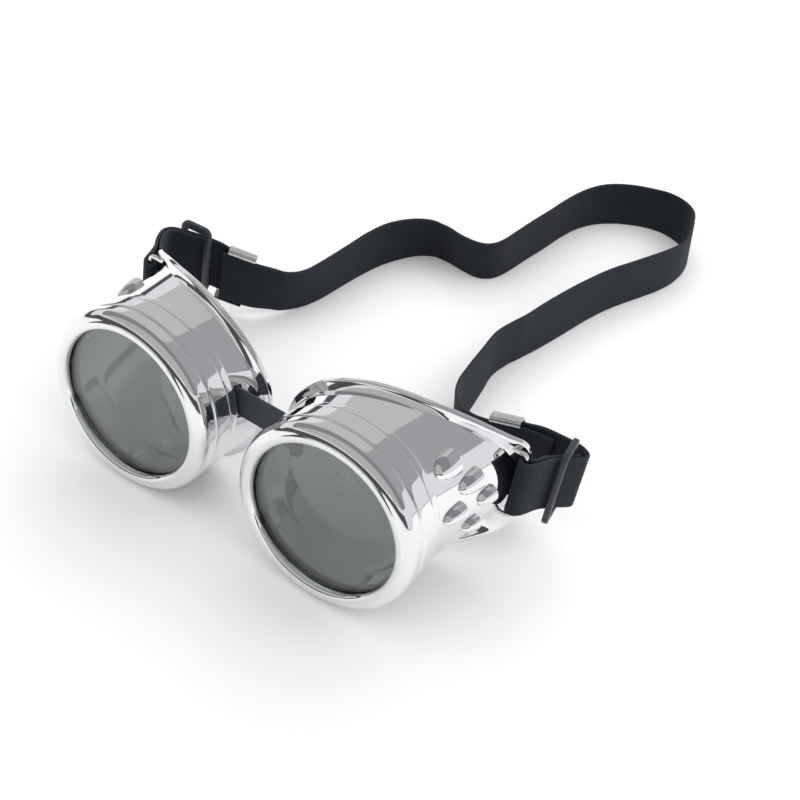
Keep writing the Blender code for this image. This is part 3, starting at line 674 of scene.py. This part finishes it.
def carve(target, pieces, side, operation):
    """Exact Boolean of closed pieces in cup coordinates with the target's mesh."""
    verts, faces = [], []
    for piece_verts, piece_faces in pieces:
        base = len(verts)
        verts += [(a * side + CUP_X * side, y, b) for a, y, b in piece_verts]
        faces += [tuple(base + i for i in face) for face in piece_faces]
    tool = mesh_object("carving_tool", verts, faces, None)
    for obj in (target, tool):
        work = bmesh.new()
        work.from_mesh(obj.data)
        bmesh.ops.triangulate(work, faces=work.faces)
        work.to_mesh(obj.data)
        work.free()
    modifier = target.modifiers.new("carve", "BOOLEAN")
    modifier.operation = operation
    modifier.solver = "EXACT"
    modifier.object = tool
    bpy.context.view_layer.update()
    evaluated = target.evaluated_get(bpy.context.evaluated_depsgraph_get())
    shaped = bpy.data.meshes.new_from_object(evaluated)
    target.modifiers.clear()
    target.data = shaped
    bpy.data.objects.remove(tool)


def cup_shell(side_name, side):
    """Eyecup with its strap lug, hooded vents and slot for the bridge."""
    verts, faces = loft_ring(cup_rows())
    verts = [((a + CUP_X) * side, y, b) for a, y, b in verts]
    cup = mesh_object(f"cup_shell_{side_name}", verts, faces, MATERIALS["chrome"])
    hoods = [vent_piece(vent, 0.0, VENT_ROOT_DEPTH, 0.0) for vent in VENTS]
    hollows = [vent_piece(vent, VENT_SKIN, VENT_CUT_DEPTH, VENT_CUT_PAST_EDGE) for vent in VENTS]
    carve(cup, [lug_piece()], side, "UNION")
    carve(cup, hoods, side, "UNION")
    carve(cup, hollows, side, "DIFFERENCE")
    carve(cup, [box_piece(NOSE_SLOT)], side, "DIFFERENCE")
    cup.data.shade_smooth()
    cup.data.set_sharp_from_angle(angle=math.radians(32.0))
    return cup


def turned_object(name, profile, side, material):
    """Ring of revolution about a lens axis."""
    section = soften([p[:2] for p in profile], [p[2] for p in profile])
    angles = even_angles(TURNED_SEGMENTS)
    rows = [circle_row(r, y, angles, CUP_X * side) for r, y in section]
    return mesh_object(name, *loft_ring(rows), material)


def lens_disc(name, y_range, side, material, step=None):
    """Round lens with ground edges; a step is the (radius, depth) of a raised face."""
    front, back = y_range
    section = [(LENS_RADIUS, back - LENS_BEVEL), (LENS_RADIUS - LENS_BEVEL, back)]
    if step is None:
        section = [(LENS_RADIUS - LENS_BEVEL, front), (LENS_RADIUS, front + LENS_BEVEL)] + section
    else:
        face_radius, depth = step
        shoulder = front + depth
        section = [
            (face_radius - COVER_BEVEL, front), (face_radius, front + COVER_BEVEL),
            (face_radius, shoulder), (LENS_RADIUS - COVER_BEVEL, shoulder),
            (LENS_RADIUS, shoulder + COVER_BEVEL),
        ] + section
    angles = even_angles(TURNED_SEGMENTS)
    rows = [circle_row(r, y, angles, CUP_X * side) for r, y in section]
    return mesh_object(name, *loft_solid(rows), material, sharp=25.0)


def smooth_route(points, step):
    """Points about a step apart on a smooth open curve through the route."""
    first = tuple(2.0 * p - q for p, q in zip(points[0], points[1]))
    last = tuple(2.0 * p - q for p, q in zip(points[-1], points[-2]))
    padded = [first] + list(points) + [last]
    out = []
    for i in range(1, len(padded) - 2):
        length = (Vector(padded[i + 1][:3]) - Vector(padded[i][:3])).length
        count = max(1, round(length / step))
        out += [blend_point(*padded[i - 1:i + 3], k / count) for k in range(count)]
    return out + [tuple(points[-1])]


def web_section():
    """Webbing section as (height share across, thickness share), with rounded selvedges."""
    edge = SELVEDGE_THICKNESS
    front = [(h, -1.0) for h in WEB_HEIGHTS]
    back = [(h, 1.0) for h in reversed(WEB_HEIGHTS)]
    return [(0.0, -edge)] + front + [(1.0, -edge), (1.0, edge)] + back + [(0.0, edge)]


def webbing(name, points, material):
    """Ribbon of webbing on its edge, ribbed across and scalloped along its selvedges.

    Points are (x, y, z of the lower edge, lean in degrees). Returns the ribbon and its length.
    """
    section = web_section()
    rows, uvs = [], []
    length = 0.0
    for i, (x, y, z, lean) in enumerate(points):
        before = points[max(i - 1, 0)]
        after = points[min(i + 1, len(points) - 1)]
        if i:
            length += (Vector(points[i][:3]) - Vector(before[:3])).length
        tangent = Vector((after[0] - before[0], after[1] - before[1])).normalized()
        across = Vector((tangent.y, -tangent.x, 0.0))
        tilt = math.radians(lean)
        rise = Vector((0.0, 0.0, math.cos(tilt))) + across * math.sin(tilt)
        side = across * math.cos(tilt) - Vector((0.0, 0.0, math.sin(tilt)))
        wave = math.cos(2.0 * math.pi * length / RIB_PITCH)
        half = WEB_THICKNESS / 2.0 + RIB_HEIGHT * (wave - 1.0)
        low = Vector((x, y, max(z, FLOOR_Z + abs(side.z) * WEB_THICKNESS / 2.0)))
        row = []
        for height, depth in section:
            scallop = EDGE_SCALLOP * (1.0 - wave) * 0.5 * (1.0 if height < 0.5 else -1.0)
            at_edge = min(height, 1.0 - height) < SELVEDGE_SHARE
            reach = height * WEB_WIDTH + (scallop if at_edge else 0.0)
            row.append(tuple(low + rise * reach + side * (half * depth)))
            uvs.append((length * MM, height * WEB_WIDTH * MM))
        rows.append(row)
    verts, faces = loft_solid(rows)
    strap = mesh_object(name, verts, faces, material, sharp=60.0, uvs=uvs)
    return strap, length


def run_frame(direction):
    """Unit vectors along a run of webbing, up across it, and out of its face."""
    along = Vector(direction).normalized()
    up = (Vector((0, 0, 1)) - along * along.z).normalized()
    return along, up, along.cross(up)


def frame_points(origin, axes, points):
    """Local points placed on three axes about an origin."""
    return [tuple(Vector(origin) + sum((a * c for a, c in zip(axes, p)), Vector())) for p in points]


def round_corners(half_width, half_height, corner, steps=6):
    """Rectangle outline with curved corners."""
    square = [(half_width, -half_height), (half_width, half_height),
              (-half_width, half_height), (-half_width, -half_height)]
    out = []
    for i, (w, h) in enumerate(square):
        for k in range(steps + 1):
            angle = math.radians(-90.0 + 90.0 * i + 90.0 * k / steps)
            centre = (w - math.copysign(corner, w), h - math.copysign(corner, h))
            out.append((centre[0] + corner * math.cos(angle), centre[1] + corner * math.sin(angle)))
    return out


def slider(name, where, material):
    """Rectangular plastic adjuster with softened bars."""
    point, direction, outside, tilt = SLIDERS[where]
    up = Vector((0, 0, 1))
    level = Vector((*direction, 0)).normalized()
    outward = level.cross(up) * outside
    angle = math.radians(tilt)
    across = level * math.cos(angle) - outward * math.sin(angle)
    centre = Vector(point) + outward * SLIDER_OFFSET
    axes = (across, up, across.cross(up))
    half_t = SLIDER_THICKNESS / 2.0
    section = soften(
        [(0.0, -half_t), (SLIDER_BAR, -half_t), (SLIDER_BAR, half_t), (0.0, half_t)],
        [SLIDER_SOFTNESS] * 4,
    )
    outer, inner = SLIDER_CORNERS
    rows = []
    for inset, depth in section:
        part = inset / SLIDER_BAR
        half_w = SLIDER_WIDTH / 2.0 - inset
        half_h = SLIDER_HEIGHT / 2.0 - SLIDER_END * part
        outline = round_corners(half_w, half_h, outer + (inner - outer) * part)
        rows.append(frame_points(centre, axes, [(w, h, depth) for w, h in outline]))
    return mesh_object(name, *loft_ring(rows), material)


def clip_sleeve(name, where, material):
    """Steel plate behind the webbing, folded over its edges and ribbed on its back."""
    centre, direction = CLIPS[where]
    along, up, face = run_frame(direction)
    outline = round_off(CLIP_SECTION, CLIP_RADII, True)
    back_w = CLIP_SECTION[0][0]
    half = CLIP_LENGTH / 2.0
    inner_length = CLIP_LENGTH - 2.0 * CLIP_CHAMFER
    stations = [-half + CLIP_CHAMFER + inner_length * k / CLIP_STEPS for k in range(CLIP_STEPS + 1)]
    rows = []
    for station in [-half] + stations + [half]:
        inset = CLIP_END_INSET if abs(station) > half - CLIP_CHAMFER / 2.0 else 0.0
        ridge = 0.0
        if abs(station) < half - CLIP_PLAIN_END:
            turn = 2.0 * math.pi * station / CLIP_RIB_PITCH
            ridge = CLIP_RIB_HALF_HEIGHT * (1.0 - math.cos(turn))
        row = []
        for w, h in outline:
            on_back = w > back_w - 0.01 and abs(h) < CLIP_RIBBED_HALF_WIDTH
            off_face = w + (ridge if on_back else 0.0) - math.copysign(inset, w)
            row.append((off_face, h * (1.0 - inset / WEB_WIDTH), station))
        rows.append(frame_points(centre, (face, up, along), row))
    return mesh_object(name, *loft_solid(rows), material, sharp=35.0)


def bridge_strip(name, material):
    """Moulded strip between the cups, with rounded edges."""
    outline = round_corners(BRIDGE_THICKNESS / 2.0, BRIDGE_WIDTH / 2.0, BRIDGE_CORNER, 4)
    rows = []
    for i in range(BRIDGE_STEPS + 1):
        x = BRIDGE_HALF_LENGTH * (2.0 * i / BRIDGE_STEPS - 1.0)
        rows.append([(x, BRIDGE_Y + w, BRIDGE_Z + h) for w, h in outline])
    return mesh_object(name, *loft_solid(rows), material)


# --------------------------------------------------------------------- build

MATERIALS = {
    "chrome": chrome_material(),
    "clear_lens": glass_material("cover_glass", (0.95, 0.975, 0.96)),
    "filter_glass": glass_material("green_filter_glass", (0.10, 0.132, 0.113)),
    "gasket_rubber": plain_material(
        "gasket_rubber", (0.012, 0.013, 0.014), (0.022, 0.023, 0.024),
        roughness=0.6, grain=900.0, strength=0.2,
    ),
    "webbing": webbing_material(),
    "bridge_strap": plain_material(
        "bridge_strip", (0.026, 0.032, 0.041), (0.038, 0.046, 0.057),
        roughness=0.55, grain=1500.0, strength=0.25,
    ),
    "slider_plastic": plain_material(
        "slider_plastic", (0.02, 0.025, 0.03), (0.032, 0.039, 0.046),
        roughness=0.42, grain=1200.0, strength=0.25,
    ),
    "clip_steel": plain_material(
        "clip_steel", (0.6, 0.6, 0.61), (0.78, 0.78, 0.79),
        roughness=0.22, grain=900.0, strength=0.15, metallic=1.0, stretch=(1.0, 1.0, 0.06),
    ),
}


def fit(piece, node, body=None):
    """Hide the CAD node a piece stands for, and tie the piece to its body."""
    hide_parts(node)
    if body is not None:
        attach(piece, body)


def build_eye(side_name, side):
    """Everything carried by one eyecup, apart from its webbing."""
    chrome = MATERIALS["chrome"]
    cup = f"{side_name}_cup"
    lenses = f"{side_name}_lenses"
    fit(cup_shell(side_name, side), f"eyecup_{side_name}", cup)
    ring = turned_object(f"bezel_ring_{side_name}", RING_PROFILE, side, chrome)
    fit(ring, f"lens_ring_{side_name}", f"{side_name}_ring")
    clear = MATERIALS["clear_lens"]
    cover = lens_disc(f"cover_glass_{side_name}", COVER_LENS_Y, side, clear, COVER_STEP)
    fit(cover, f"cover_lens_{side_name}", lenses)
    tint = lens_disc(f"filter_glass_{side_name}", FILTER_LENS_Y, side, MATERIALS["filter_glass"])
    fit(tint, f"filter_lens_{side_name}", lenses)
    front, back = GASKET_Y
    corners = (
        (GASKET_INNER_RADIUS, front), (LENS_RADIUS, front),
        (LENS_RADIUS, back), (GASKET_INNER_RADIUS, back),
    )
    profile = [(*corner, GASKET_SOFTNESS) for corner in corners]
    seal = turned_object(f"seal_{side_name}", profile, side, MATERIALS["gasket_rubber"])
    fit(seal, f"lens_gasket_{side_name}", lenses)
    buckle = slider(f"buckle_{side_name}", side_name, MATERIALS["slider_plastic"])
    fit(buckle, f"strap_slider_{side_name}", f"{side_name}_slider")
    sleeve = clip_sleeve(f"clip_sleeve_{side_name}", side_name, MATERIALS["clip_steel"])
    fit(sleeve, f"strap_clip_{side_name}", cup)
    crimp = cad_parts[f"bridge_clip_{side_name}"]
    crimp.data.materials.clear()
    crimp.data.materials.append(MATERIALS["clip_steel"])


for side_name, side in SIDES.items():
    build_eye(side_name, side)

head_route = smooth_route(HEAD_ROUTE, WEB_STEP)
head_points = [(x, y, FLOOR_Z + lift, lean) for x, y, lift, lean in head_route]
head, head_length = webbing("head_webbing", head_points, MATERIALS["webbing"])
fit(head, "head_strap")
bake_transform(head)

for side_name, route in (("left", LEFT_SIDE_ROUTE), ("right", RIGHT_SIDE_ROUTE)):
    points = [(x, y, z - WEB_WIDTH / 2.0, 0.0) for x, y, z in smooth_route(route, WEB_STEP)]
    loop, loop_length = webbing(f"side_webbing_{side_name}", points, MATERIALS["webbing"])
    fit(loop, f"side_strap_{side_name}", f"{side_name}_cup")

strip = bridge_strip("bridge_strip", MATERIALS["bridge_strap"])
fit(strip, "nose_bridge")
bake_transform(strip)


# --------------------------------------------------------- floor, light, view


def add_floor():
    """Wide sheet of white paper under the goggles."""
    near, far = -FLOOR_REACH, FLOOR_REACH
    mesh = bpy.data.meshes.new("floor")
    corners = [(near, near, 0), (far, near, 0), (far, far, 0), (near, far, 0)]
    mesh.from_pydata(corners, [], [(0, 1, 2, 3)])
    floor = bpy.data.objects.new("floor", mesh)
    bpy.context.scene.collection.objects.link(floor)
    material, _, shader = new_material("floor_paper")
    shader.inputs["Base Color"].default_value = (0.93, 0.935, 0.945, 1.0)
    shader.inputs["Roughness"].default_value = 0.9
    shader.inputs["Specular IOR Level"].default_value = 0.1
    mesh.materials.append(material)


def add_room():
    """Room for the chrome to mirror: a pale wall, a darker sky and two dark places low down.

    Tones meet where a part of the direction looked in, x, y or z, passes a narrow step.
    """
    world = bpy.data.worlds.new("room")
    bpy.context.scene.world = world
    world.use_nodes = True
    tree = world.node_tree
    direction = add_node(tree, "ShaderNodeTexCoord").outputs["Generated"]
    split = add_node(tree, "ShaderNodeSeparateXYZ")
    link(tree, direction, split.inputs[0])
    x, y, z = split.outputs

    def above(part, start, end):
        """Factor that rises from 0 to 1 over a step."""
        return ranged(tree, part, 0.0, 1.0, start, end)

    def below(part, start, end):
        """Factor that falls from 1 to 0 over a step."""
        return ranged(tree, part, 1.0, 0.0, start, end)

    front = below(y, -0.22, -0.2)
    low_front = maths(tree, "MULTIPLY", front, below(z, 0.22, 0.26))
    far_left = maths(tree, "MULTIPLY", below(x, -0.72, -0.7), below(z, 0.1, 0.12))
    sky = blended(tree, above(x, 0.05, 0.065), LEFT_SKY, RIGHT_SKY)
    sky = blended(tree, below(y, 0.28, 0.3), sky, OVERHEAD_SKY)
    sky = blended(tree, front, sky, FRONT_SKY)
    room = blended(tree, above(z, 0.33, 0.345), WALL_TONE, sky)
    room = blended(tree, low_front, room, LOW_FRONT_TONE)
    room = blended(tree, far_left, room, FAR_LEFT_TONE)
    background = tree.nodes["Background"]
    link(tree, room, background.inputs["Color"])
    background.inputs["Strength"].default_value = 1.0


def add_lamp(name, centre, size, energy):
    """Square soft lamp aimed at the goggles, left out of the chrome's reflections."""
    lamp = bpy.data.lights.new(name, "AREA")
    lamp.shape = "SQUARE"
    lamp.size = size
    lamp.energy = energy
    obj = bpy.data.objects.new(name, lamp)
    bpy.context.scene.collection.objects.link(obj)
    obj.location = place(centre)
    aim = place(LAMP_TARGET) - obj.location
    obj.rotation_euler = aim.to_track_quat("-Z", "Y").to_euler()
    obj.visible_glossy = False


def add_camera():
    """Camera in front of the goggles, above them and to the wearer's left."""
    data = bpy.data.cameras.new("view")
    data.lens = CAMERA_LENS
    data.sensor_width = SENSOR_WIDTH
    data.clip_start = 0.01
    obj = bpy.data.objects.new("view", data)
    bpy.context.scene.collection.objects.link(obj)
    obj.matrix_world = Matrix.Translation(place(CAMERA_POINT)) @ Matrix(CAMERA_AXES).to_4x4()
    bpy.context.scene.camera = obj


add_floor()
add_room()
for lamp_name, lamp_values in LAMPS.items():
    add_lamp(lamp_name, *lamp_values)
add_camera()
bpy.context.scene.view_settings.view_transform = "Standard"
